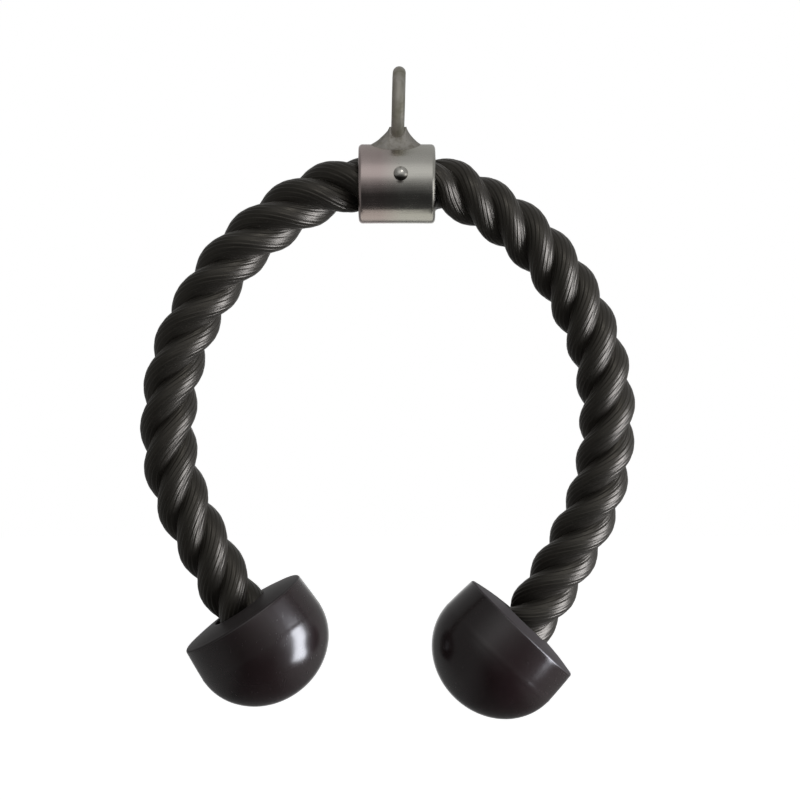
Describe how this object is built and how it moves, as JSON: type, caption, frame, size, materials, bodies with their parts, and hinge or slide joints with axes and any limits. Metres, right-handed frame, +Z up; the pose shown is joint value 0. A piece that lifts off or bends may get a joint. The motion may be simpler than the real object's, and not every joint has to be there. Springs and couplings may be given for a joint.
{
  "type": "triceps rope attachment",
  "caption": "Triceps rope: thick black laid rope bent through a plated steel collar with a welded eye, with a domed rubber stopper on each end.",
  "frame": {"origin": "inside top of the eye's opening, where the hook of a cable bears", "axes": "+Z up the pull of the cable, X along the collar's axis with the left arm at -X, the front seen from -Y"},
  "size_m": [0.2655, 0.0796, 0.3502],
  "materials": {
    "plated_steel": "satin",
    "zinc_steel": "satin",
    "black_nylon": "satin",
    "black_rubber": "gloss"
  },
  "bodies": {
    "collar": {"collar_tube": "plated_steel", "eye_ring": "plated_steel", "eye_weld": "plated_steel", "retaining_rivet": "plated_steel", "rivet_washer": "zinc_steel", "rope_middle": "black_nylon"},
    "root_left": {"rope_root_left": "black_nylon"},
    "root_right": {"rope_root_right": "black_nylon"},
    "arm_left": {"rope_arm_left": "black_nylon", "rope_end_left": "black_nylon", "crimp_ferrule_left": "zinc_steel", "ferrule_pin_left": "zinc_steel", "end_washer_left": "zinc_steel", "stopper_left": "black_rubber"},
    "arm_right": {"rope_arm_right": "black_nylon", "rope_end_right": "black_nylon", "crimp_ferrule_right": "zinc_steel", "ferrule_pin_right": "zinc_steel", "end_washer_right": "zinc_steel", "stopper_right": "black_rubber"}
  },
  "joints": [
    {"name": "rope_sway_left", "type": "hinge", "parent": "collar", "child": "root_left", "pos_m": [0, 0, -0.0561], "axis": [1, 0, 0], "range_deg": [-30, 30], "stiffness_Nm_per_rad": 1, "springref_deg": 0.72},
    {"name": "rope_spread_left", "type": "hinge", "parent": "root_left", "child": "arm_left", "pos_m": [-0.0235, 0, -0.0561], "axis": [0, 1, 0], "range_deg": [-6, 50], "stiffness_Nm_per_rad": 2.5, "springref_deg": 3.61},
    {"name": "rope_sway_right", "type": "hinge", "parent": "collar", "child": "root_right", "pos_m": [0, 0, -0.0561], "axis": [1, 0, 0], "range_deg": [-30, 30], "stiffness_Nm_per_rad": 1},
    {"name": "rope_spread_right", "type": "hinge", "parent": "root_right", "child": "arm_right", "pos_m": [0.0235, 0, -0.0561], "axis": [0, -1, 0], "range_deg": [-6, 50], "stiffness_Nm_per_rad": 2.5, "springref_deg": 2.47}
  ]
}
